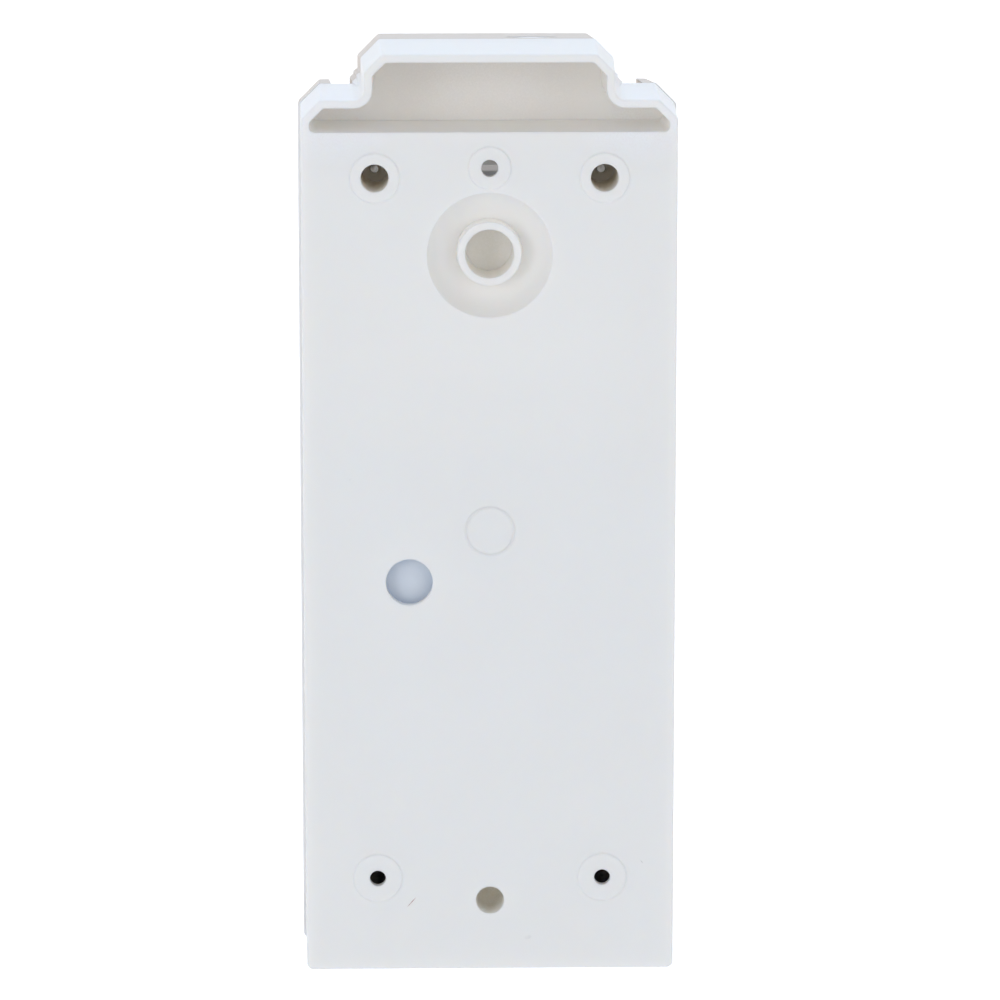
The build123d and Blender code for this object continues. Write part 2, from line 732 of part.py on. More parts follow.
def pump_carrier():
    back = CARRIER_SEAT
    front = back + CARRIER_PLATE
    under = SHELF_Z - SHELF_THICKNESS
    carrier = block(-CARRIER_HALF, CARRIER_HALF, back, front, BOTTOM_Z + CARRIER_FOOT, SHELF_Z)
    carrier += block(-CARRIER_HALF, CARRIER_HALF, back, SHELF_FRONT, under, SHELF_Z)
    lip_top = SHELF_Z + SHELF_LIP_HEIGHT
    carrier += block(-CARRIER_HALF, CARRIER_HALF, SHELF_FRONT - SHELF_LIP, SHELF_FRONT, under, lip_top)
    nose = SHELF_FRONT - GUSSET_SETBACK
    gusset = [
        (back, under + CLEAR),
        (nose, under + CLEAR),
        (nose, under - GUSSET_NOSE),
        (front, under - GUSSET_DROP),
        (back, under - GUSSET_DROP),
    ]
    carrier += both_sides(side_plate(gusset, CARRIER_HALF - GUSSET_THICKNESS, CARRIER_HALF))
    slot = NECK_RADIUS + NECK_GAP
    carrier -= rod_z(slot, 0, PUMP_DEPTH, under - CLEAR, SHELF_Z + CLEAR)
    carrier -= block(-slot, slot, PUMP_DEPTH, SHELF_FRONT + CLEAR, under - CLEAR, lip_top + CLEAR)
    for x in SCREW_XS:
        carrier += rod_y(SLEEVE_RADIUS, x, WALL_SCREW_Z, FLOOR + SLEEVE_GAP, SLEEVE_FRONT)
    for x in SCREW_XS:
        carrier -= rod_y(SLEEVE_BORE, x, WALL_SCREW_Z, 0, SLEEVE_FRONT + CLEAR)
    for x in CARRIER_SCREW_XS:
        for z in CARRIER_SCREW_ZS:
            carrier -= rod_y(CARRIER_SCREW_RADIUS + SCREW_GAP, x, z, back - CLEAR, front + CLEAR)
    core_boss = CORE_HOLE_RADIUS + BOSS_WALL + CORE_BOSS_GAP
    return carrier - rod_y(core_boss, 0, CORE_HOLE_Z, back - CLEAR, front + CLEAR)


def bottle_profile():
    step_top = BOTTLE_STEP_Z + BOTTLE_STEP_RISE
    points = [
        (-BOTTLE_BACK, SHELF_Z),
        (-BOTTLE_BACK, BOTTLE_STEP_Z),
        (-BOTTLE_UPPER_BACK, step_top),
        (-BOTTLE_UPPER_BACK, BOTTLE_TOP_Z),
        (-BOTTLE_FRONT, BOTTLE_TOP_Z),
        (-BOTTLE_FRONT, SHELF_Z),
    ]
    flat = make_face(Polyline(*points, close=True))
    return fillet(flat.vertices(), BOTTLE_ROUND)


def bottle_block(profile, half, end_round):
    body = extrude(Plane.YZ.offset(-half) * profile, 2 * half)
    ends = body.edges().filter_by(lambda edge: abs(abs(edge.center().X) - half) < NUDGE)
    return fillet(ends, end_round)


def soap_bottle():
    """Blown bottle with a neck below for the pump and a mouth above to fill it."""
    profile = bottle_profile()
    rim_z = BOTTLE_TOP_Z + MOUTH_RISE
    bottle = bottle_block(profile, BOTTLE_HALF, BOTTLE_END_ROUND)
    bottle += rod_z(NECK_RADIUS, 0, PUMP_DEPTH, NECK_END_Z, SHELF_Z + CLEAR)
    bottle += rod_z(MOUTH_RADIUS + MOUTH_WALL, MOUTH_X, MOUTH_DEPTH, BOTTLE_TOP_Z - SINK, rim_z)
    hollow = offset(profile, amount=-BOTTLE_WALL)
    bottle -= bottle_block(hollow, BOTTLE_HALF - BOTTLE_WALL, BOTTLE_END_ROUND - BOTTLE_WALL)
    bottle -= rod_z(MOUTH_RADIUS, MOUTH_X, MOUTH_DEPTH, BOTTLE_TOP_Z - 2 * BOTTLE_WALL, rim_z + CLEAR)
    return bottle - rod_z(NECK_BORE, 0, PUMP_DEPTH, NECK_END_Z - CLEAR, SHELF_Z + 2 * BOTTLE_WALL)


def pump_cap():
    top = SHELF_Z - SHELF_THICKNESS - CAP_TOP_GAP
    neck = NECK_RADIUS + CAP_NECK_GAP
    eye = STEM_RADIUS + CAP_STEM_GAP
    points = [
        (eye, CAP_Z),
        (CAP_RADIUS - CAP_CHAMFER, CAP_Z),
        (CAP_RADIUS, CAP_Z + CAP_CHAMFER),
        (CAP_RADIUS, top),
        (neck, top),
        (neck, FLANGE_Z),
        (eye, FLANGE_Z),
    ]
    cap = turned(points, 0, PUMP_DEPTH)
    flute = rod_z(FLUTE_RADIUS, CAP_RADIUS + FLUTE_OFFSET, 0, CAP_Z + FLUTE_START, top + CLEAR)
    turns = [360 * count / FLUTE_COUNT for count in range(FLUTE_COUNT)]
    return cap - [Pos(0, -PUMP_DEPTH, 0) * Rot(0, 0, turn) * flute for turn in turns]


def neck_gasket():
    ring = rod_z(NECK_RADIUS - GASKET_INSET, 0, PUMP_DEPTH, FLANGE_TOP_Z, NECK_END_Z)
    return ring - rod_z(NECK_BORE, 0, PUMP_DEPTH, FLANGE_TOP_Z - CLEAR, NECK_END_Z + CLEAR)


def pump_cylinder():
    skin = CYLINDER_BORE + CYLINDER_WALL
    flange = NECK_RADIUS - GASKET_INSET
    seat = BALL_RADIUS - BALL_SEAT_BITE
    top = CYLINDER_ROOF_Z + CYLINDER_ROOF
    points = [
        (CYLINDER_BORE, FLANGE_Z),
        (flange, FLANGE_Z),
        (flange, FLANGE_TOP_Z),
        (skin, FLANGE_TOP_Z),
        (skin, top - CYLINDER_CHAMFER),
        (skin - CYLINDER_CHAMFER, top),
        (seat, top),
        (seat, CYLINDER_ROOF_Z),
        (CYLINDER_BORE, CYLINDER_ROOF_Z),
    ]
    return turned(points, 0, PUMP_DEPTH)


def ball_cage():
    """Ring in the top of the cylinder with a cross bar that keeps the ball near its seat."""
    room = BALL_RADIUS + CAGE_ROOM
    half = CAGE_BAR / 2
    cage = rod_z(CYLINDER_BORE, 0, PUMP_DEPTH, CAGE_Z, CYLINDER_ROOF_Z)
    cage -= rod_z(room, 0, PUMP_DEPTH, CAGE_Z - CLEAR, CYLINDER_ROOF_Z + CLEAR)
    reach = room + SINK
    return cage + block(-reach, reach, PUMP_DEPTH - half, PUMP_DEPTH + half, CAGE_Z, CAGE_Z + CAGE_BAR)


def inlet_ball():
    return Pos(0, -PUMP_DEPTH, CAGE_Z + CAGE_BAR + BALL_RADIUS) * Sphere(BALL_RADIUS)


def plunger_guide():
    guide = rod_z(CYLINDER_BORE, 0, PUMP_DEPTH, FLANGE_Z, PISTON_Z)
    return guide - rod_z(STEM_RADIUS + SEAL_GAP, 0, PUMP_DEPTH, FLANGE_Z - CLEAR, PISTON_Z + CLEAR)


def return_spring():
    rise = SPRING_LENGTH - SPRING_WIRE
    coil = Helix(rise / SPRING_TURNS, rise, SPRING_RADIUS)
    wire = Plane(coil @ 0, z_dir=coil % 0) * Circle(SPRING_WIRE / 2)
    spring = sweep(wire, path=coil, is_frenet=True)
    return Pos(0, -PUMP_DEPTH, COLLAR_TOP_Z + SPRING_WIRE / 2) * spring


def plunger_stem():
    seal_floor = PISTON_RADIUS - SEAL_GROOVE
    points = [
        (STEM_BORE, VALVE_SEAT_Z),
        (STEM_RADIUS, VALVE_SEAT_Z),
        (STEM_RADIUS, COLLAR_Z),
        (COLLAR_RADIUS, COLLAR_Z),
        (COLLAR_RADIUS, COLLAR_TOP_Z),
        (STEM_RADIUS, COLLAR_TOP_Z),
        (STEM_RADIUS, PISTON_Z),
        (PISTON_RADIUS, PISTON_Z),
        (PISTON_RADIUS, PISTON_Z + SEAL_LAND),
        (seal_floor, PISTON_Z + SEAL_LAND),
        (seal_floor, PISTON_TOP_Z - SEAL_LAND),
        (PISTON_RADIUS, PISTON_TOP_Z - SEAL_LAND),
        (PISTON_RADIUS, PISTON_TOP_Z),
        (STEM_BORE, PISTON_TOP_Z),
    ]
    return turned(points, 0, PUMP_DEPTH)


def piston_seal():
    low = PISTON_Z + SEAL_LAND
    high = PISTON_TOP_Z - SEAL_LAND
    lip = CYLINDER_BORE - SEAL_GAP
    floor = PISTON_RADIUS - SEAL_GROOVE
    waist = PISTON_RADIUS + SEAL_WAIST
    points = [
        (floor, low),
        (lip, low),
        (lip, low + SEAL_LIP),
        (waist, low + SEAL_LIP + SEAL_TAPER),
        (waist, high - SEAL_LIP - SEAL_TAPER),
        (lip, high - SEAL_LIP),
        (lip, high),
        (floor, high),
    ]
    return turned(points, 0, PUMP_DEPTH)


def nozzle():
    socket_floor = VALVE_SEAT_Z - VALVE_FLANGE
    points = [
        (STEM_BORE, NOZZLE_Z),
        (NOZZLE_TIP_RADIUS, NOZZLE_Z),
        (NOZZLE_RADIUS, socket_floor - NOZZLE_SHOULDER),
        (NOZZLE_RADIUS, COLLAR_Z),
        (STEM_RADIUS, COLLAR_Z),
        (STEM_RADIUS, socket_floor),
        (STEM_BORE, socket_floor),
    ]
    return turned(points, 0, PUMP_DEPTH)


def outlet_valve():
    """Duckbill: a flange with a hollow bill that thins to a lip."""
    low = VALVE_SEAT_Z - VALVE_FLANGE
    tip = low - BILL_LENGTH
    bill = STEM_BORE - BILL_GAP
    side = bill + CLEAR
    valve = rod_z(STEM_RADIUS - VALVE_FIT, 0, PUMP_DEPTH, low, VALVE_SEAT_Z)
    valve += rod_z(bill, 0, PUMP_DEPTH, tip, low)
    cheek = [(BILL_LIP, tip - NUDGE), (BILL_LIP + side, tip - NUDGE), (BILL_LIP + side, low - BILL_ROOT)]
    wedge = Pos(0, -PUMP_DEPTH, 0) * side_plate(cheek, -side, side)
    valve -= wedge
    valve -= mirror(wedge, about=Plane.XZ.offset(PUMP_DEPTH))
    return valve - rod_z(BILL_BORE, 0, PUMP_DEPTH, tip - CLEAR, VALVE_SEAT_Z + CLEAR)


def pin_pair(radius, depth, z, start, end):
    pin = rod_x(radius, depth, z, start, end)
    return Compound([pin, mirror(pin, about=Plane.YZ)])


def hinge_pins():
    start = EAR_INNER - PIN_PROUD
    return pin_pair(HINGE_PIN_RADIUS, HINGE_DEPTH, HINGE_Z, start, KNUCKLE_OUTER + PIN_PROUD)


def bar_pins():
    end = OPENING_HALF + WALL + PIN_PROUD
    return pin_pair(BAR_PIN_RADIUS, BAR_PIVOT_DEPTH, BAR_PIVOT_Z, BAR_HALF - BAR_PIN_BITE, end)


def cover_groove(grow):
    """Channel along each shoulder, from nothing at the split to its full depth at the front."""
    shift = SPLIT.neck - COVER_FRONT.neck
    middle = (GROOVE_INNER + GROOVE_OUTER) / 2
    width = GROOVE_WIDTH + 2 * grow
    slab = Rectangle(width, FAR, align=(Align.CENTER, Align.MIN))
    near_z = COVER_SPLIT.shoulder - GROOVE_START - grow
    far_z = COVER_FRONT.shoulder - GROOVE_DEPTH - grow
    near = Plane.XZ.offset(COVER_BACK - NUDGE) * Pos(middle + shift, near_z) * slab
    far = Plane.XZ.offset(REACH) * Pos(middle, far_z) * slab
    return both_sides(loft([near, far], ruled=True))


def front_channel():
    """Upright grooves that part the middle panel from the side rails."""
    slot = block(GROOVE_INNER, GROOVE_OUTER, 0, REACH, -FAR, FAR)
    return both_sides(slot) - front_round(CROWN_RADIUS - GROOVE_DEPTH)


def channel_backing():
    band = block(GROOVE_INNER - WALL, GROOVE_OUTER + WALL, 0, REACH, -FAR, FAR)
    band = both_sides(band) & front_round(CROWN_RADIUS - WALL + SINK)
    return band - front_round(CROWN_RADIUS - GROOVE_DEPTH - WALL)


def cover_knuckle():
    near = max(HINGE_DEPTH - HINGE_KNUCKLE_RADIUS, COVER_BACK)
    far = HINGE_DEPTH + HINGE_KNUCKLE_RADIUS
    bore = HINGE_PIN_RADIUS + RUNNING_GAP
    lug = block(KNUCKLE_INNER, KNUCKLE_OUTER, near, far, BOTTOM_Z + EAR_FOOT, HINGE_Z)
    lug += rod_x(HINGE_KNUCKLE_RADIUS, HINGE_DEPTH, HINGE_Z, KNUCKLE_INNER, KNUCKLE_OUTER)
    return lug - rod_x(bore, HINGE_DEPTH, HINGE_Z, KNUCKLE_INNER - CLEAR, KNUCKLE_OUTER + CLEAR)


def bar_opening():
    """Opening for the push bar and the nozzle, through the front and the underside."""
    front = block(-OPENING_HALF, OPENING_HALF, FRONT_START, REACH, -FAR, OPENING_TOP_Z)
    near = HINGE_DEPTH + UNDER_OPENING_INSET
    return front + block(-OPENING_HALF, OPENING_HALF, near, REACH, -FAR, BOTTOM_Z + WALL + CLEAR)


def bar_surround():
    """Walls that carry the push bar's pins and edge its opening."""
    high = OPENING_TOP_Z + WALL
    near = BAR_PIVOT_DEPTH - SURROUND_SETBACK
    walls = both_sides(block(OPENING_HALF, OPENING_HALF + WALL, near, REACH, BOTTOM_Z + SINK, high))
    reach = OPENING_HALF + CLEAR
    walls += block(-reach, reach, BAR_PIVOT_DEPTH - HEADER_SETBACK, REACH, OPENING_TOP_Z, high)
    return walls & front_round(CROWN_RADIUS - GROOVE_DEPTH)


def window_slot(grow):
    centre_z = WINDOW_TOP_Z - WINDOW_LENGTH / 2
    flat = SlotCenterToCenter(WINDOW_LENGTH - WINDOW_WIDTH, WINDOW_WIDTH + 2 * grow, rotation=90)
    return extrude(Plane.XZ.offset(FRONT_START) * Pos(0, centre_z) * flat, REACH - FRONT_START)


def cover_body():
    """Outside of the cover: crown-shaped, with ledges beside its dome and a crowned front."""
    outer = loft([COVER_SPLIT.face(COVER_BACK), COVER_FRONT.face(REACH)], ruled=True)
    outer = outer & front_round(CROWN_RADIUS)
    nose = BODY_DEPTH - HALF**2 / (2 * CROWN_RADIUS) - COVER_ROUND_ZONE
    rim = outer.edges().filter_by(lambda edge: -edge.center().Y > nose)
    outer = fillet(rim, COVER_ROUND)
    steps = [neck_step(COVER_SPLIT, COVER_BACK, 1.0), neck_step(COVER_FRONT, REACH, 1.0)]
    return outer + (both_sides(loft(steps, ruled=True)) & front_round(CROWN_RADIUS - STEP_SETBACK))


def cover_room():
    near = COVER_SPLIT.inset(WALL).face(COVER_BACK - CLEAR, WALL)
    far = COVER_FRONT.inset(WALL).face(REACH, WALL)
    return loft([near, far], ruled=True) & front_round(CROWN_RADIUS - WALL)


def front_cover():
    outer = cover_body()
    cover = outer - cover_room()
    cover += cover_groove(WALL) & outer
    cover += channel_backing() & outer
    cover -= cover_groove(0)
    cover -= front_channel()
    cover -= bar_opening()
    cover += bar_surround() & outer
    pin_end = OPENING_HALF + WALL + CLEAR
    cover -= both_sides(rod_x(BAR_PIN_RADIUS, BAR_PIVOT_DEPTH, BAR_PIVOT_Z, 0, pin_end))
    cover -= window_slot(0)

    cover += rod_z(LOCK_HEAD_RADIUS + LOCK_BOSS_WALL, LOCK_X, LOCK_DEPTH, LOCK_BOSS_Z, FAR) & outer
    cover -= rod_z(LOCK_SLEEVE_RADIUS, LOCK_X, LOCK_DEPTH, LOCK_BOSS_Z - CLEAR, FAR)
    cover -= rod_z(LOCK_HEAD_RADIUS + LOCK_HEAD_GAP, LOCK_X, LOCK_DEPTH, LOCK_SEAT_Z, FAR)

    cover += both_sides(cover_knuckle())
    notch_far = HINGE_DEPTH + NOTCH_REACH
    notch_top = BOTTOM_Z + WALL + CLEAR
    return cover - both_sides(block(EAR_INNER - SIDE_GAP, KNUCKLE_INNER, 0, notch_far, -FAR, notch_top))


def level_window():
    plug = window_slot(-WINDOW_FIT) & front_round(CROWN_RADIUS - WINDOW_SETBACK)
    plug -= front_round(CROWN_RADIUS - WALL - NUDGE)
    flange = window_slot(WINDOW_FLANGE) & front_round(CROWN_RADIUS - WALL)
    return plug + (flange - front_round(CROWN_RADIUS - WALL - WINDOW_THICKNESS))


def fork_screw_places():
    return [(x, FORK_NOSE_Z - FORK_SCREW_DROP) for x in (-FORK_SCREW_X, FORK_SCREW_X)]


def push_bar():
    slab = block(-BAR_HALF, BAR_HALF, BAR_PIVOT_DEPTH, REACH, BAR_BOTTOM_Z, BAR_TOP_Z)
    inner = BAR_HALF - BAR_SIDE_WALL
    hollow = block(-inner, inner, 0, REACH, BAR_BOTTOM_Z - CLEAR, BAR_TOP_Z - BAR_SIDE_WALL)
    bar = slab & front_round(CROWN_RADIUS)
    bar -= hollow & front_round(CROWN_RADIUS - BAR_WALL)
    middle_z = (BAR_BOTTOM_Z + BAR_PIVOT_Z) / 2
    scoop_depth = BODY_DEPTH + SCOOP_RADIUS - SCOOP_DEPTH
    scoop_half = BAR_HALF - SCOOP_MARGIN
    bar -= rod_x(SCOOP_RADIUS, scoop_depth, middle_z, -scoop_half, scoop_half)
    boss_start = BAR_HALF - BAR_BOSS_LENGTH
    low = BAR_PIVOT_Z - BAR_WEB_HALF
    high = BAR_PIVOT_Z + BAR_WEB_HALF
    web = both_sides(block(boss_start, BAR_HALF, BAR_PIVOT_DEPTH, REACH, low, high))
    bar += both_sides(rod_x(BAR_BOSS_RADIUS, BAR_PIVOT_DEPTH, BAR_PIVOT_Z, boss_start, BAR_HALF))
    bar += web & front_round(CROWN_RADIUS - BAR_WALL + SINK)
    bore = BAR_PIN_RADIUS + RUNNING_GAP
    bar -= both_sides(rod_x(bore, BAR_PIVOT_DEPTH, BAR_PIVOT_Z, 0, BAR_HALF + CLEAR))
    for x, z in fork_screw_places():
        bar -= rod_y(FORK_SCREW_RADIUS, x, z, FRONT_START, BODY_DEPTH - FORK_SCREW_COVER)
    return bar


def lift_fork():
    """Two arms that reach under the pump's collar from a pad on the back of the push bar."""
    radius = FORK_NOSE_RADIUS
    high = FORK_NOSE_Z + radius
    arm = block(FORK_INNER, FORK_OUTER, PUMP_DEPTH, REACH, FORK_NOSE_Z - radius, high)
    arm += rod_x(radius, PUMP_DEPTH, FORK_NOSE_Z, FORK_INNER, FORK_OUTER)
    fork = both_sides(arm)
    fork += block(-FORK_OUTER, FORK_OUTER, FORK_PAD_DEPTH, REACH, FORK_NOSE_Z - FORK_PAD_DROP, high)
    fork = fork & front_round(CROWN_RADIUS - BAR_WALL)
    for x, z in fork_screw_places():
        fork -= rod_y(FORK_SCREW_RADIUS + SCREW_GAP, x, z, FORK_PAD_DEPTH - CLEAR, REACH)
    return fork


def fork_screws():
    length = BODY_DEPTH - FORK_SCREW_COVER - SCREW_TIP_GAP - FORK_PAD_DEPTH
    screw = Rot(0, 0, 180) * pan_screw(FORK_SCREW_RADIUS, FORK_SCREW_HEAD, length)
    return Compound([Pos(x, -FORK_PAD_DEPTH, z) * screw for x, z in fork_screw_places()])


def lock_sleeve():
    bore = LOCK_BARREL_RADIUS + RUNNING_GAP
    low = LOCK_BOSS_Z - SLEEVE_TAIL
    high = LOCK_SEAT_Z + LOCK_HEAD_RISE
    points = [
        (bore, low),
        (LOCK_SLEEVE_RADIUS, low),
        (LOCK_SLEEVE_RADIUS, LOCK_SEAT_Z),
        (LOCK_HEAD_RADIUS, LOCK_SEAT_Z),
        (LOCK_HEAD_RADIUS - LOCK_HEAD_EDGE, high),
        (bore, high),
    ]
    return turned(points, LOCK_X, LOCK_DEPTH)


def lock_nut():
    low = LOCK_BOSS_Z - NUT_THICKNESS
    flat = RegularPolygon(LOCK_HEAD_RADIUS + NUT_MARGIN, 6)
    nut = extrude(Plane.XY.offset(low) * Pos(LOCK_X, -LOCK_DEPTH) * flat, NUT_THICKNESS)
    return nut - rod_z(LOCK_SLEEVE_RADIUS, LOCK_X, LOCK_DEPTH, low - CLEAR, LOCK_BOSS_Z + CLEAR)


def lock_barrel():
    shoulder = LOCK_BOSS_Z - BARREL_TAIL
    barrel = rod_z(LOCK_BARREL_RADIUS, LOCK_X, LOCK_DEPTH, shoulder, LOCK_SEAT_Z + BARREL_PROUD)
    barrel += rod_z(TANG_RADIUS, LOCK_X, LOCK_DEPTH, CAM_Z, shoulder)
    slot = Box(KEY_SLOT_LENGTH, KEY_SLOT_WIDTH, 2 * KEY_SLOT_DEPTH)
    barrel -= Pos(LOCK_X, -LOCK_DEPTH, LOCK_SEAT_Z) * slot
    return barrel - rod_z(CAM_SCREW_RADIUS, LOCK_X, LOCK_DEPTH, CAM_Z - CLEAR, CAM_Z + CAM_SCREW_LENGTH)


def lock_cam():
    """Hook that swings from the side to behind the strike post."""
    outer = HOOK_RADIUS + HOOK_WIDTH
    reach = 2 * outer
    start = (reach, reach * tan(radians(HOOK_START_ANGLE)))
    end = (reach, reach * tan(radians(HOOK_END_ANGLE)))
    plate = Circle(outer) - Circle(HOOK_RADIUS)
    plate = plate & make_face(Polyline((0, 0), start, end, close=True))
    plate += Circle(TANG_RADIUS + CAM_HUB_WALL)
    arm = Rectangle(HOOK_RADIUS + HOOK_WIDTH / 2, CAM_ARM_WIDTH, align=(Align.MIN, Align.CENTER))
    plate += Rot(0, 0, CAM_ARM_ANGLE) * arm
    plate -= Circle(TANG_RADIUS)
    return extrude(Plane.XY.offset(CAM_Z) * Pos(LOCK_X, -LOCK_DEPTH) * plate, CAM_THICKNESS)


def cam_screw():
    low = CAM_Z - CAM_SCREW_HEAD_HEIGHT
    tip = CAM_Z + CAM_SCREW_LENGTH
    points = [
        (0, low),
        (CAM_SCREW_HEAD - CAM_SCREW_HEAD_EDGE, low),
        (CAM_SCREW_HEAD, CAM_Z),
        (CAM_SCREW_RADIUS, CAM_Z),
        (CAM_SCREW_RADIUS, tip - CAM_SCREW_POINT),
        (0, tip),
    ]
    return turned(points, LOCK_X, LOCK_DEPTH)


NODES = (
    back_shell,
    strike_bracket,
    bracket_screws,
    pump_carrier,
    carrier_screws,
    hinge_pins,
    soap_bottle,
    pump_cap,
    neck_gasket,
    pump_cylinder,
    ball_cage,
    inlet_ball,
    plunger_guide,
    return_spring,
    front_cover,
    level_window,
    bar_pins,
    lock_sleeve,
    lock_nut,
    lock_barrel,
    lock_cam,
    cam_screw,
    push_bar,
    lift_fork,
    fork_screws,
    plunger_stem,
    piston_seal,
    nozzle,
    outlet_valve,
)

os.makedirs("parts", exist_ok=True)
for make in NODES:
    export_step(make(), f"parts/{make.__name__}.step")
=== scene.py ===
import json
import math

import bmesh
import bpy
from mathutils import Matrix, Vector


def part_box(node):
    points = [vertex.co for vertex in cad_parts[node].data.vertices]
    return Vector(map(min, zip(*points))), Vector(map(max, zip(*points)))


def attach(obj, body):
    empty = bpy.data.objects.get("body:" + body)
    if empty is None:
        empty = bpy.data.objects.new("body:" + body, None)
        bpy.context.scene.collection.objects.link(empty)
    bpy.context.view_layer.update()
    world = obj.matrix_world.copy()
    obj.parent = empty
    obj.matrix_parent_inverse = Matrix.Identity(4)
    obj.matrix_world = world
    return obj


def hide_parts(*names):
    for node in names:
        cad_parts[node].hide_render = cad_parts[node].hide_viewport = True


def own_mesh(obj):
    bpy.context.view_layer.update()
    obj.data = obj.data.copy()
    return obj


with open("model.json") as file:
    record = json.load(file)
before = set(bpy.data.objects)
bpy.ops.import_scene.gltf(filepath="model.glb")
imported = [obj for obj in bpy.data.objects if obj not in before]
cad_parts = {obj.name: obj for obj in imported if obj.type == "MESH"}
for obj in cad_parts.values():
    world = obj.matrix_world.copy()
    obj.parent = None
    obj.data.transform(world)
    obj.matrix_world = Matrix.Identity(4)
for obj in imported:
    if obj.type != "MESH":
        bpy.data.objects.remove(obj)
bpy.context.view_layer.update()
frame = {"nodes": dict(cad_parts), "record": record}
NODES = frame["nodes"]
MM = 0.001

# Camera
CAMERA_PLACE = Vector((0.03112, 1.4635, 0.1717))
CAMERA_AIM = Vector((-0.00311, 0.0, -0.1025))
CAMERA_LENS = 174.27
CAMERA_SENSOR = 36.0
CAMERA_FAR = 40.0

# Light
WORLD_TINT = (0.955, 0.975, 1.03, 1.0)
WORLD_BACK = 1.1
WORLD_FRONT = 0.565
WORLD_TURN = (-0.75, -0.2)
SIDE_PLACE = Vector((1.2, 1.55, 0.15))
SIDE_SIZE = 1.0
SIDE_POWERS = {1: 7.4, -1: 4.7}
SIDE_TINT = (0.93, 0.95, 1.0)
TOP_PLACE = Vector((0.0, -0.55, 1.15))
TOP_SIZE = 1.1
TOP_POWER = 5.6
TOP_TINT = (0.50, 0.72, 1.0)
LIGHT_AIM = Vector((0.0, -0.02, -0.1))
LIGHT_BOUNCES = 12

# Floor
FLOOR_LEVEL = -0.75
FLOOR_HALF = 30.0
FLOOR_ROWS = 60
FLOOR_WAVE = 0.002
FLOOR_COLOUR = (0.84, 0.845, 0.85)
FLOOR_SHADE = (0.80, 0.805, 0.815)
FLOOR_CLOUD = 0.4
FLOOR_GRAIN = 2 * MM
FLOOR_ROUGH = (0.75, 0.9)
FLOOR_GLOW_BACK = 0.9
FLOOR_GLOW_FRONT = 0.05
FLOOR_GLOW_SPAN = (-0.2, -1.0)

# Moulded plastics: light tone, shade tone, roughness low and high
SHELL_TONES = ((0.943, 0.921, 0.886), (0.935, 0.912, 0.875), 0.42, 0.56)
COVER_TONES = ((0.80, 0.752, 0.698), (0.785, 0.737, 0.683), 0.42, 0.54)
PUMP_TONES = ((0.80, 0.80, 0.79), (0.75, 0.76, 0.76), 0.28, 0.42)
CARRIER_TONES = ((0.066, 0.060, 0.057), (0.046, 0.042, 0.040), 0.50, 0.68)
RUBBER_TONES = ((0.050, 0.049, 0.051), (0.028, 0.028, 0.030), 0.68, 0.85)
SHELL_SOFT = 0.65
COVER_SOFT = 0.4
PUMP_SOFT = 0.3
# Black plastics: lighter specks, and lighter edges that are partly wear and partly painted highlight
CARRIER_DIRT = (0.09, 0.088, 0.085)
CARRIER_EDGE = (0.10, 0.10, 0.10)
RUBBER_DIRT = (0.16, 0.155, 0.15)
RUBBER_EDGE = (0.12, 0.12, 0.12)

# Darker, warmer tone toward the top of the cover, and painted light: the faces of its rim that look to
# the wall painted pale
COVER_TOP_TONE = (0.69, 0.607, 0.522)
COVER_TOP_FROM = -190 * MM
COVER_TOP_TO = -5 * MM
RIM_PAINTED_LIGHT = (0.965, 0.955, 0.94)
RIM_TURN = (0.5, 0.9)

# Detail of the moulded plastics
CLOUD_SIZE = 38 * MM
CLOUD_SPAN = (0.35, 0.65)
GRAIN_SIZE = 0.55 * MM
GRAIN_DEPTH = 0.010 * MM
SHEEN_SIZE = 6 * GRAIN_SIZE
SHEEN_SPAN = (0.3, 0.7)
SINK_SIZE = 16 * MM
SINK_DEPTH = 0.030 * MM
SPECK_SPACING = 21 * MM
SPECK_RADIUS = 0.16 * MM
SPECK_CORE = 0.5
SPECK_SHARE = 0.6
SPECK_COLOUR = (0.42, 0.39, 0.36)
# Edges lighter in colour, partly from wear and partly as a painted highlight
EDGE_RADIUS = 0.65 * MM
EDGE_SAMPLES = 4
EDGE_COSINES = (0.985, 0.80)
EDGE_SHARE = 0.9
EDGE_LIGHT = (0.985, 0.98, 0.97)
SOFT_DEPTH = 3.0 * MM
SOFT_REACH = (1.0, 0.86, 0.72)

# Marks of use on the back of the shell: place, half sizes, turn and colour
MARK_FADE = 0.6
MARK_GRAIN = (0.3, 0.6, 0.25, 1.0)
MARKS = (
    (Vector((24.5, -0.4, -230.3)) * MM, Vector((2.3, 1.0, 0.18)) * MM, 0.85, (0.42, 0.19, 0.15)),
    (Vector((-11.9, -0.4, -241.9)) * MM, Vector((1.5, 1.0, 0.8)) * MM, 0.3, (0.86, 0.84, 0.82)),
    (Vector((-47.4, -0.4, -217.7)) * MM, Vector((0.9, 1.0, 0.12)) * MM, -0.9, (0.62, 0.59, 0.56)),
    (Vector((43.0, -0.4, -96.0)) * MM, Vector((0.6, 1.0, 0.10)) * MM, 0.5, (0.66, 0.63, 0.60)),
)

# Painted shade deep in the cored holes, darker and warmer there, in the same terms
PAINTED_HOLE_SHADE = (
    (Vector((35, -15, -3)) * MM, Vector((8.5, 18, 8.5)) * MM, 0.0, (0.85, 0.80, 0.70)),
    (Vector((-35, -15, -3)) * MM, Vector((8.5, 18, 8.5)) * MM, 0.0, (0.85, 0.80, 0.70)),
    (Vector((0, -9, -229.8)) * MM, Vector((8, 10, 8)) * MM, 0.0, (0.765, 0.735, 0.645)),
    (Vector((0, -12, -26.7)) * MM, Vector((12, 14, 12)) * MM, 0.0, (0.868, 0.848, 0.79)),
)
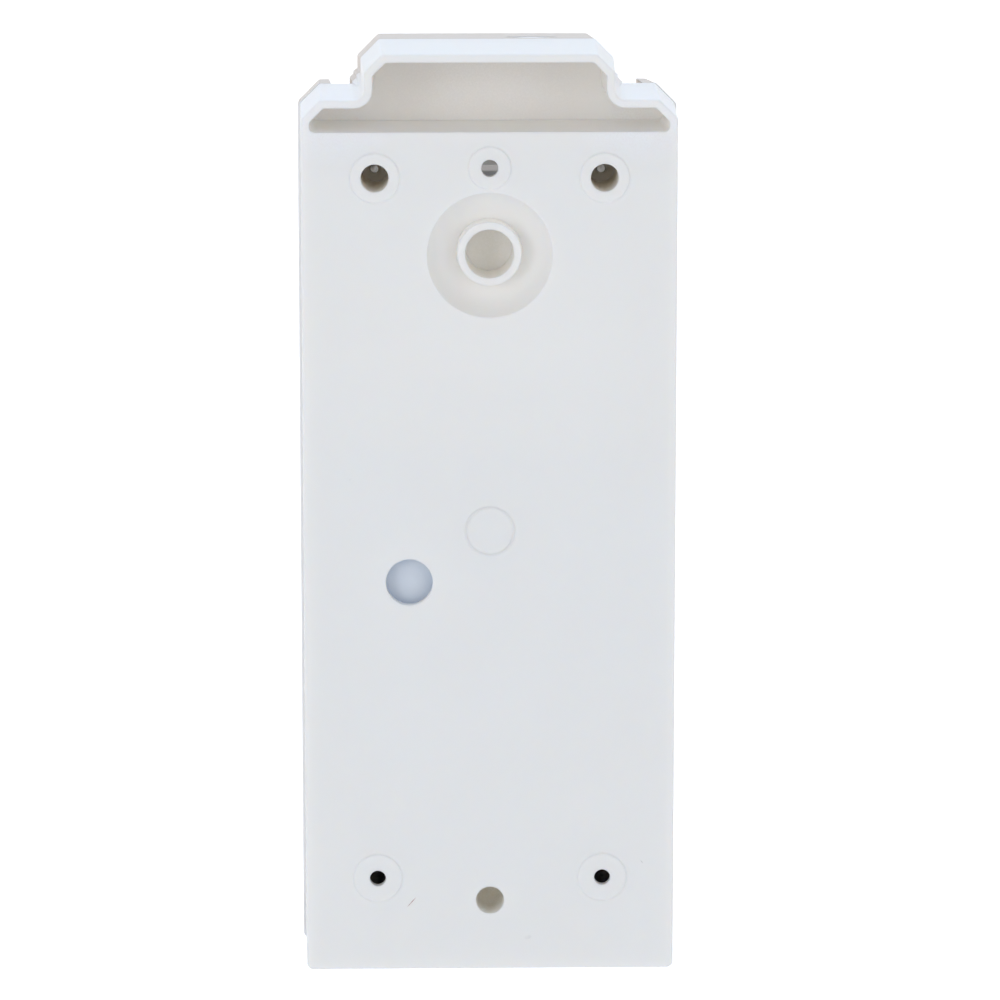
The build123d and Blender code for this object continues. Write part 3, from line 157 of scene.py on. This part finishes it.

# Painted light and shade inside the pocket: paler at its ends, darker in the middle, in the same terms
POCKET_PAINTED_LIGHT_AND_SHADE = (
    (Vector((47, -17, 12)) * MM, Vector((21, 40, 13)) * MM, 0.0, (0.986, 0.977, 0.953)),
    (Vector((-45, -17, 12)) * MM, Vector((21, 40, 13)) * MM, 0.0, (0.991, 0.983, 0.960)),
    (Vector((0, -34, 22)) * MM, Vector((46, 14, 18)) * MM, 0.0, (0.884, 0.862, 0.828)),
)

# Bottle
BOTTLE_FULL = ((0.86, 0.935, 0.995), (0.81, 0.885, 0.965))
BOTTLE_EMPTY = ((0.74, 0.77, 0.79), (0.69, 0.72, 0.74))
SOAP_LEVEL = -85 * MM
SOAP_EDGE = 1.2 * MM
BOTTLE_CLOUD = 26 * MM
BOTTLE_EDGE_SHARE = 0.5
BOTTLE_ROUGH = (0.26, 0.40)
BOTTLE_CLEAR = 0.12
BOTTLE_SOFT = 0.55
BOTTLE_REACH = (0.8, 0.9, 1.0)
BOTTLE_DEPTH = 3 * MM

# Painted light: the bottle glows in place of faint light through the housing and bottle, by how far
# the face looks up where it is empty, even where full
GLOW_STEPS = ((0.0, 0.06), (0.735, 0.06), (0.755, 0.25), (0.90, 0.26), (0.92, 0.34), (0.94, 0.14),
              (1.0, 0.12))
GLOW_COLOUR = (0.93, 0.89, 0.87)
# Painted light: a faint bluish glow where soap stands
SOAP_GLOW = 0.018
SOAP_COLOUR = (0.06, 0.34, 1.0)

# Window, chrome and zinc
SMOKE = (0.60, 0.63, 0.65)
WINDOW_ROUGH = (0.45, 0.75, 0.05, 0.22)
WINDOW_CLEAR = 0.92
WINDOW_IOR = 1.49
CHROME_TONES = ((0.80, 0.81, 0.83), (0.68, 0.69, 0.72))
CHROME_ROUGH = (0.10, 0.24)
TURNING_BAND = 5 * MM
TURNING_DEPTH = 0.004 * MM
ZINC_TONES = ((0.82, 0.825, 0.84), (0.68, 0.685, 0.70))
ZINC_ROUGH = (0.28, 0.46)
ZINC_GRAIN = 1.1 * MM
SPANGLE_SPAN = (0.1, 0.5)
METAL_EDGE_SHARE = 0.5
SCRATCH_SIZE = 0.35 * MM
SCRATCH_STRETCH = 9.0
SCRATCH_DEPTH = 0.003 * MM

# Coil spring and screws
WELD = 0.001 * MM
COIL_WIRE = 0.45 * MM
COIL_TURNS = 6.0
COIL_DEAD = 0.85
COIL_STEPS = 40
COIL_SIDES = 10
SCREW_SIDES = 40
HEAD_SHARE = 0.9
SHANK_FROM = 0.4
THREAD_PITCH = 1.0 * MM
THREAD_SHARE = 0.18
THREAD_STEPS = 8
CREST_SLOPE = 1.6
TIP_SHARE = 0.92
TIP_TURNS = 2
CROSS_ARM = 0.56
CROSS_WIDTH = 0.17
CROSS_DEPTH = 0.55
CROSS_RISE = 0.7
HEAD_CROWN = 0.42
HEAD_RINGS = 14
SHARP_ANGLE = math.radians(35)


def set_inputs(tree, shader, inputs):
    """Links each input that is given as a socket, and sets any other value."""
    for key, value in inputs.items():
        if isinstance(value, bpy.types.NodeSocket):
            tree.links.new(value, shader.inputs[key])
        else:
            shader.inputs[key].default_value = value


def node(tree, kind, inputs=None, **settings):
    made = tree.nodes.new("ShaderNode" + kind)
    for name, value in settings.items():
        setattr(made, name, value)
    set_inputs(tree, made, inputs or {})
    return made


def opaque(colour):
    return (*colour, 1.0)


def maths(tree, operation, first, second):
    return node(tree, "Math", {0: first, 1: second}, operation=operation).outputs[0]


def part_of(tree, vector, axis):
    return node(tree, "SeparateXYZ", {0: vector}).outputs[axis]


def spread(tree, value, low, high, to_low=0.0, to_high=1.0):
    """A value carried over from one span to another, and held at the ends."""
    return node(tree, "MapRange", {0: value, 1: low, 2: high, 3: to_low, 4: to_high}).outputs[0]


def mix(tree, factor, under, over):
    """Two colours mixed."""
    return node(tree, "Mix", {0: factor, 6: under, 7: over}, data_type="RGBA").outputs[2]


def blended(tree, factor, under, over):
    """Two plain values mixed."""
    return node(tree, "Mix", {0: factor, 2: under, 3: over}).outputs[0]


def stepped(tree, value, steps):
    """A value read off straight runs between given points, the first at 0 and the last at 1."""
    made = node(tree, "ValToRGB", {0: value})
    stops = made.color_ramp.elements
    for at, _ in steps[1:-1]:
        stops.new(at)
    for stop, (_, level) in zip(stops, steps):
        stop.color = (level, level, level, 1.0)
    return made.outputs["Color"]


def place_of(tree):
    return node(tree, "TexCoord").outputs["Object"]


def noise(tree, place, size, detail=3.0):
    inputs = {"Vector": place, "Scale": 1 / size, "Detail": detail}
    return node(tree, "TexNoise", inputs).outputs["Fac"]


def scratches(tree, place, across):
    """Fine noise drawn out square to the given axis."""
    scale = [SCRATCH_STRETCH if axis == across else 1 for axis in "XYZ"]
    drawn = node(tree, "Mapping", {"Vector": place, "Scale": scale}).outputs[0]
    return noise(tree, drawn, SCRATCH_SIZE * SCRATCH_STRETCH)


def moved(tree, place, centre, size=(1, 1, 1), turn=(0, 0, 0)):
    """Coordinates with their origin at the centre, their unit the given size."""
    inputs = {"Vector": place, "Location": centre, "Rotation": turn, "Scale": size}
    return node(tree, "Mapping", inputs, vector_type="TEXTURE").outputs[0]


def finish(name):
    made = bpy.data.materials.new(name)
    made.use_nodes = True
    return made, made.node_tree, made.node_tree.nodes["Principled BSDF"]


def edges(tree, radius):
    """The normal rounded over at edges, and how far it is turned there."""
    rounded = node(tree, "Bevel", {"Radius": radius}, samples=EDGE_SAMPLES).outputs["Normal"]
    plain = node(tree, "NewGeometry").outputs["Normal"]
    product = node(tree, "VectorMath", {0: rounded, 1: plain}, operation="DOT_PRODUCT")
    return rounded, spread(tree, product.outputs["Value"], *EDGE_COSINES)


def bumped(tree, normal, height, depth):
    inputs = {"Height": height, "Distance": depth, "Normal": normal}
    return node(tree, "Bump", inputs).outputs["Normal"]


def specks(tree, place):
    cells = node(tree, "TexVoronoi", {"Vector": place, "Scale": 1 / SPECK_SPACING})
    reach = SPECK_RADIUS / SPECK_SPACING
    return spread(tree, cells.outputs["Distance"], reach, SPECK_CORE * reach)


def top_tone_and_painted_rim_light(tree, place, colour):
    """The colour made darker and warmer toward the top, and painted pale as painted light on faces
    that look to the wall.
    """
    toward_top = spread(tree, part_of(tree, place, "Z"), COVER_TOP_FROM, COVER_TOP_TO)
    colour = mix(tree, toward_top, colour, opaque(COVER_TOP_TONE))
    inward = part_of(tree, node(tree, "TexCoord").outputs["Normal"], "Y")
    return mix(tree, spread(tree, inward, *RIM_TURN), colour, opaque(RIM_PAINTED_LIGHT))


def marked(tree, place, grain, colour, mark):
    """The colour with one soft, slightly ragged patch on it."""
    centre, size, turn, tint = mark
    inputs = {"Vector": moved(tree, place, centre, size, (0, turn, 0))}
    near = node(tree, "TexGradient", inputs, gradient_type="SPHERICAL").outputs["Fac"]
    fade = spread(tree, near, 0.0, MARK_FADE)
    ragged = maths(tree, "MULTIPLY", fade, spread(tree, grain, *MARK_GRAIN))
    return mix(tree, ragged, colour, opaque(tint))


def plastic(name, tones, soft=0.0, dirt=SPECK_COLOUR, edge=EDGE_LIGHT, marks_and_painted_patches=(), toned_to_top=False):
    """Moulded plastic: cloudy tone, grain, shallow sink waves, specks, and edges lighter, partly from
    wear and partly as a painted highlight.
    """
    light, shade, smooth, rough = tones
    made, tree, shader = finish(name)
    place = place_of(tree)
    cloud = noise(tree, place, CLOUD_SIZE)
    grain = noise(tree, place, GRAIN_SIZE)
    waves = noise(tree, place, SINK_SIZE, 1.0)
    rounded, edge_wear_and_highlight = edges(tree, EDGE_RADIUS)
    colour = mix(tree, spread(tree, cloud, *CLOUD_SPAN), opaque(shade), opaque(light))
    if toned_to_top:
        colour = top_tone_and_painted_rim_light(tree, place, colour)
    dotted = maths(tree, "MULTIPLY", specks(tree, place), SPECK_SHARE)
    colour = mix(tree, dotted, colour, opaque(dirt))
    colour = mix(tree, maths(tree, "MULTIPLY", edge_wear_and_highlight, EDGE_SHARE), colour, opaque(edge))
    # Patches: marks of use, painted shade deep in the cored holes, and painted light and shade inside
    # the pocket
    for mark in marks_and_painted_patches:
        colour = marked(tree, place, grain, colour, mark)
    normal = bumped(tree, rounded, waves, SINK_DEPTH)
    normal = bumped(tree, normal, grain, GRAIN_DEPTH)
    set_inputs(tree, shader, {
        "Base Color": colour,
        "Roughness": spread(tree, noise(tree, place, SHEEN_SIZE), *SHEEN_SPAN, smooth, rough),
        "Normal": normal,
        "Subsurface Weight": soft,
        "Subsurface Radius": SOFT_REACH,
        "Subsurface Scale": SOFT_DEPTH,
    })
    return made


def bottle_plastic(name):
    """Blow-moulded translucent wall, bluish where soap stands behind it, with a painted glow as
    painted light and edges lighter as wear and painted highlight.
    """
    made, tree, shader = finish(name)
    place = place_of(tree)
    wave = spread(tree, noise(tree, place, BOTTLE_CLOUD), 0.0, 1.0, -SOAP_EDGE, SOAP_EDGE)
    height = maths(tree, "ADD", part_of(tree, place, "Z"), wave)
    full = spread(tree, height, SOAP_LEVEL + SOAP_EDGE, SOAP_LEVEL - SOAP_EDGE)
    cloud = noise(tree, place, BOTTLE_CLOUD, 1.0)
    wet = mix(tree, cloud, opaque(BOTTLE_FULL[1]), opaque(BOTTLE_FULL[0]))
    dry = mix(tree, cloud, opaque(BOTTLE_EMPTY[1]), opaque(BOTTLE_EMPTY[0]))
    rounded, edge_wear_and_highlight = edges(tree, 2 * EDGE_RADIUS)
    colour = mix(tree, full, dry, wet)
    colour = mix(tree, maths(tree, "MULTIPLY", edge_wear_and_highlight, BOTTLE_EDGE_SHARE), colour, opaque(EDGE_LIGHT))
    upward = part_of(tree, node(tree, "NewGeometry").outputs["Normal"], "Z")
    glow = stepped(tree, upward, GLOW_STEPS)
    normal = bumped(tree, rounded, noise(tree, place, BOTTLE_CLOUD, 0.0), SINK_DEPTH)
    normal = bumped(tree, normal, noise(tree, place, GRAIN_SIZE), GRAIN_DEPTH)
    set_inputs(tree, shader, {
        "Base Color": colour,
        "Roughness": spread(tree, cloud, 0.0, 1.0, *BOTTLE_ROUGH),
        "Normal": normal,
        # Painted light: the emission makes the bottle glow though it is no lamp
        "Emission Color": mix(tree, full, opaque(GLOW_COLOUR), opaque(SOAP_COLOUR)),
        "Emission Strength": blended(tree, full, glow, SOAP_GLOW),
        "Transmission Weight": BOTTLE_CLEAR,
        "Subsurface Weight": BOTTLE_SOFT,
        "Subsurface Radius": BOTTLE_REACH,
        "Subsurface Scale": BOTTLE_DEPTH,
    })
    return made


def window_plastic(name):
    """Clear smoked window with hairline scratches."""
    made, tree, shader = finish(name)
    place = place_of(tree)
    hairs = scratches(tree, place, "X")
    rounded, edge_wear_and_highlight = edges(tree, EDGE_RADIUS)
    set_inputs(tree, shader, {
        # Edges lighter, partly wear and partly painted highlight
        "Base Color": mix(tree, edge_wear_and_highlight, opaque(SMOKE), opaque(EDGE_LIGHT)),
        "Roughness": spread(tree, hairs, *WINDOW_ROUGH),
        "Normal": bumped(tree, rounded, hairs, SCRATCH_DEPTH),
        "Transmission Weight": WINDOW_CLEAR,
        "IOR": WINDOW_IOR,
    })
    return made


def metal(name, tones, sheen, grain, turned_about=None):
    """Plated metal with spangle, scratches and edges lighter, partly from wear and partly as a painted
    highlight, and rings where it was turned.
    """
    light, shade = tones
    made, tree, shader = finish(name)
    place = place_of(tree)
    cells = node(tree, "TexVoronoi", {"Vector": place, "Scale": 1 / grain}).outputs["Color"]
    spangle = node(tree, "RGBToBW", {0: cells}).outputs[0]
    tone = maths(tree, "MULTIPLY", noise(tree, place, 3 * grain), spangle)
    hairs = scratches(tree, place, "Y")
    rounded, edge_wear_and_highlight = edges(tree, 0.5 * EDGE_RADIUS)
    colour = mix(tree, spread(tree, tone, *SPANGLE_SPAN), opaque(shade), opaque(light))
    colour = mix(tree, maths(tree, "MULTIPLY", edge_wear_and_highlight, METAL_EDGE_SHARE), colour, opaque(EDGE_LIGHT))
    normal = bumped(tree, rounded, hairs, SCRATCH_DEPTH)
    if turned_about is not None:
        inputs = {"Vector": moved(tree, place, turned_about), "Scale": 1 / TURNING_BAND}
        rings = node(tree, "TexWave", inputs, wave_type="RINGS", rings_direction="Z")
        normal = bumped(tree, normal, rings.outputs["Fac"], TURNING_DEPTH)
    set_inputs(tree, shader, {
        "Base Color": colour,
        "Metallic": 1.0,
        "Roughness": spread(tree, hairs, *SHEEN_SPAN, *sheen),
        "Normal": normal,
    })
    return made


def floor_finish(name):
    """Pale matt sheet, lit up behind the object so that it fades into the background."""
    made, tree, shader = finish(name)
    place = place_of(tree)
    cloud = noise(tree, place, FLOOR_CLOUD)
    along = part_of(tree, place, "Y")
    colour = mix(tree, cloud, opaque(FLOOR_SHADE), opaque(FLOOR_COLOUR))
    set_inputs(tree, shader, {
        "Base Color": colour,
        "Roughness": spread(tree, noise(tree, place, FLOOR_GRAIN), *SHEEN_SPAN, *FLOOR_ROUGH),
        "Emission Color": colour,
        "Emission Strength": spread(tree, along, *FLOOR_GLOW_SPAN, FLOOR_GLOW_FRONT, FLOOR_GLOW_BACK),
    })
    return made


def middle(name):
    low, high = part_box(name)
    return (Vector(low) + Vector(high)) / 2


def new_piece(name, mesh, surface, body):
    """A finished mesh as a piece that rides on a body and takes a named finish."""
    made = bpy.data.objects.new(name, bpy.data.meshes.new(name))
    mesh.to_mesh(made.data)
    mesh.free()
    made.data.materials.append(surface)
    made.data.shade_smooth()
    made.data.set_sharp_from_angle(angle=SHARP_ANGLE)
    bpy.context.collection.objects.link(made)
    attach(made, body)
    return made


def skin_rings(mesh, rings):
    """Joins rings of points, each a list of the same length, into one closed skin."""
    rows = [[mesh.verts.new(point) for point in ring] for ring in rings]
    count = len(rows[0])
    for first, second in zip(rows, rows[1:]):
        for k in range(count):
            after = (k + 1) % count
            mesh.faces.new((first[k], first[after], second[after], second[k]))
    mesh.faces.new(rows[0][::-1])
    mesh.faces.new(rows[-1])


def coil_spring():
    """Compression spring with closed ends, wound inside the box of its node."""
    low, high = (Vector(corner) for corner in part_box("return_spring"))
    centre = (low + high) / 2
    radius = (high.x - low.x) / 2 - COIL_WIRE
    rise = high.z - low.z - 2 * COIL_WIRE
    dead = 2 * COIL_WIRE * COIL_DEAD
    steps = round(COIL_TURNS * COIL_STEPS)
    sides = [math.tau * k / COIL_SIDES for k in range(COIL_SIDES)]
    up = Vector((0, 0, 1))
    rings = []
    for step in range(steps + 1):
        turn = step / COIL_STEPS
        left = COIL_TURNS - turn
        live = min(max((turn - COIL_DEAD) / (COIL_TURNS - 2 * COIL_DEAD), 0.0), 1.0)
        height = dead * min(turn / COIL_DEAD, 1.0) + (rise - 2 * dead) * live
        height += dead * (1.0 - min(left / COIL_DEAD, 1.0))
        angle = math.tau * turn
        out = Vector((math.cos(angle), math.sin(angle), 0))
        core = Vector((centre.x, centre.y, low.z + COIL_WIRE + height)) + radius * out
        rings.append([core + COIL_WIRE * (math.cos(a) * out + math.sin(a) * up) for a in sides])
    mesh = bmesh.new()
    skin_rings(mesh, rings)
    bmesh.ops.recalc_face_normals(mesh, faces=mesh.faces)
    return mesh


def islands(node_object):
    """The separate solids of a node, each as a list of points."""
    mesh = bmesh.new()
    mesh.from_mesh(node_object.data)
    bmesh.ops.remove_doubles(mesh, verts=mesh.verts, dist=WELD)
    left = set(mesh.verts)
    found = []
    while left:
        group = []
        edge = [left.pop()]
        while edge:
            vert = edge.pop()
            group.append(vert.co.copy())
            for link in vert.link_edges:
                other = link.other_vert(vert)
                if other in left:
                    left.remove(other)
                    edge.append(other)
        found.append(group)
    mesh.free()
    return sorted(found, key=lambda group: tuple(group[0]))


def cross_drop(x, y, head_radius, head_height):
    """Depth of the cross recess under a point of the head."""
    arm = CROSS_ARM * head_radius
    half = CROSS_WIDTH * head_radius
    near, far = sorted((abs(x), abs(y)))
    if near < half and far < arm:
        return CROSS_DEPTH * head_height * (1 - CROSS_RISE * far / arm)
    return 0.0


def add_screw(mesh, points, axis):
    """Pan-head screw with a cross recess and a thread, in the place and size of a plain solid."""
    axis = Vector(axis)
    across = axis.orthogonal().normalized()
    beyond = axis.cross(across)
    base = Vector()
    for side in (across, beyond):
        reach = [p.dot(side) for p in points]
        base += (min(reach) + max(reach)) / 2 * side
    start = min(p.dot(axis) for p in points)
    length = max(p.dot(axis) for p in points) - start
    sized = [((p - base - p.dot(axis) * axis).length, p.dot(axis) - start) for p in points]
    head_radius = max(r for r, t in sized)
    head_height = max(t for r, t in sized if r > HEAD_SHARE * head_radius)
    shank_length = length - head_height
    shank = max(r for r, t in sized if t > head_height + SHANK_FROM * shank_length)
    turns = [math.tau * k / SCREW_SIDES for k in range(SCREW_SIDES)]

    def point(radius, angle, depth):
        out = math.cos(angle) * across + math.sin(angle) * beyond
        return base + (start + depth) * axis + radius * out

    def ring(radius, depth):
        return [point(radius, a, depth(radius, a)) for a in turns]

    def top(radius, angle):
        crown = HEAD_CROWN * head_height * (radius / head_radius) ** 2
        x, y = radius * math.cos(angle), radius * math.sin(angle)
        return crown + cross_drop(x, y, head_radius, head_height)

    rings = [ring(head_radius * k / HEAD_RINGS, top) for k in range(1, HEAD_RINGS + 1)]
    rings.append(ring(head_radius, lambda r, a: head_height))
    rows = max(round(shank_length / THREAD_PITCH * THREAD_STEPS), 2)
    for row in range(rows + 1):
        depth = head_height + shank_length * row / rows
        taper = min((length - depth) / (TIP_TURNS * THREAD_PITCH) + TIP_SHARE, 1.0)
        thread = []
        for angle in turns:
            phase = (depth / THREAD_PITCH - angle / math.tau) % 1.0
            crest = max(1 - abs(2 * phase - 1) * CREST_SLOPE, 0.0)
            radius = shank * (1 - THREAD_SHARE + THREAD_SHARE * crest) * taper
            thread.append(point(radius, angle, depth))
        rings.append(thread)
    skin_rings(mesh, rings)


def screws(node_name, axis, body):
    """All the screws of one node as one detailed piece."""
    mesh = bmesh.new()
    for points in islands(NODES[node_name]):
        add_screw(mesh, points, axis)
    bmesh.ops.recalc_face_normals(mesh, faces=mesh.faces)
    made = new_piece(node_name + "_cut", mesh, SURFACES["zinc_steel"], body)
    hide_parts(node_name)


SURFACES = {
    "shell_white": plastic("satin_white", SHELL_TONES, SHELL_SOFT, marks_and_painted_patches=MARKS + PAINTED_HOLE_SHADE + POCKET_PAINTED_LIGHT_AND_SHADE),
    "cover_white": plastic("warm_white", COVER_TONES, COVER_SOFT, toned_to_top=True),
    "carrier_black": plastic("matt_black", CARRIER_TONES, dirt=CARRIER_DIRT, edge=CARRIER_EDGE),
    "bottle_translucent": bottle_plastic("milky_blue"),
    "pump_white": plastic("pump_white", PUMP_TONES, PUMP_SOFT),
    "seal_rubber": plastic("rubber", RUBBER_TONES, dirt=RUBBER_DIRT, edge=RUBBER_EDGE),
    "window_smoke": window_plastic("smoke"),
    "zinc_steel": metal("zinc", ZINC_TONES, ZINC_ROUGH, ZINC_GRAIN),
    "lock_chrome": metal("chrome", CHROME_TONES, CHROME_ROUGH, 2 * ZINC_GRAIN, middle("lock_barrel")),
}
for row in frame["record"]["subparts"]:
    NODES[row["node"]].material_slots[0].material = SURFACES[row["material_slot"]]

spring = new_piece("coil_spring", coil_spring(), SURFACES["zinc_steel"], "housing")
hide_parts("return_spring")
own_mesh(spring)

screws("bracket_screws", (0, 1, 0), "housing")
screws("carrier_screws", (0, 1, 0), "housing")
screws("fork_screws", (0, -1, 0), "push_bar")
screws("cam_screw", (0, 0, 1), "lock")


def add_light(name, place, size, power, tint):
    made = bpy.data.objects.new(name, bpy.data.lights.new(name, "AREA"))
    made.data.size = size
    made.data.energy = power
    made.data.color = tint
    made.location = place
    made.rotation_euler = (LIGHT_AIM - place).to_track_quat("-Z", "Y").to_euler()
    bpy.context.collection.objects.link(made)


def add_floor():
    mesh = bmesh.new()
    bmesh.ops.create_grid(mesh, x_segments=FLOOR_ROWS, y_segments=FLOOR_ROWS, size=FLOOR_HALF)
    for vert in mesh.verts:
        vert.co.z = FLOOR_LEVEL + FLOOR_WAVE * math.sin(vert.co.x) * math.cos(vert.co.y)
    made = bpy.data.objects.new("floor", bpy.data.meshes.new("floor"))
    mesh.to_mesh(made.data)
    mesh.free()
    made.data.materials.append(floor_finish("pale_floor"))
    made.data.shade_smooth()
    bpy.context.collection.objects.link(made)


def add_world():
    """Soft surroundings, brighter behind the object than in front of it."""
    world = bpy.data.worlds.new("studio")
    bpy.context.scene.world = world
    world.use_nodes = True
    tree = world.node_tree
    look = node(tree, "TexCoord").outputs["Generated"]
    along = part_of(tree, look, "Y")
    set_inputs(tree, tree.nodes["Background"], {
        "Color": WORLD_TINT,
        "Strength": spread(tree, along, *WORLD_TURN, WORLD_BACK, WORLD_FRONT),
    })


def add_camera():
    made = bpy.data.objects.new("camera", bpy.data.cameras.new("camera"))
    made.data.lens = CAMERA_LENS
    made.data.sensor_width = CAMERA_SENSOR
    made.data.clip_end = CAMERA_FAR
    made.location = CAMERA_PLACE
    made.rotation_euler = (CAMERA_AIM - CAMERA_PLACE).to_track_quat("-Z", "Y").to_euler()
    bpy.context.collection.objects.link(made)
    bpy.context.scene.camera = made


add_floor()
add_world()
for side, power in SIDE_POWERS.items():
    side_place = Vector((side * SIDE_PLACE.x, SIDE_PLACE.y, SIDE_PLACE.z))
    add_light("side", side_place, SIDE_SIZE, power, SIDE_TINT)
add_light("top", TOP_PLACE, TOP_SIZE, TOP_POWER, TOP_TINT)
add_camera()
bpy.context.scene.view_settings.view_transform = "Standard"
bpy.context.scene.cycles.diffuse_bounces = LIGHT_BOUNCES
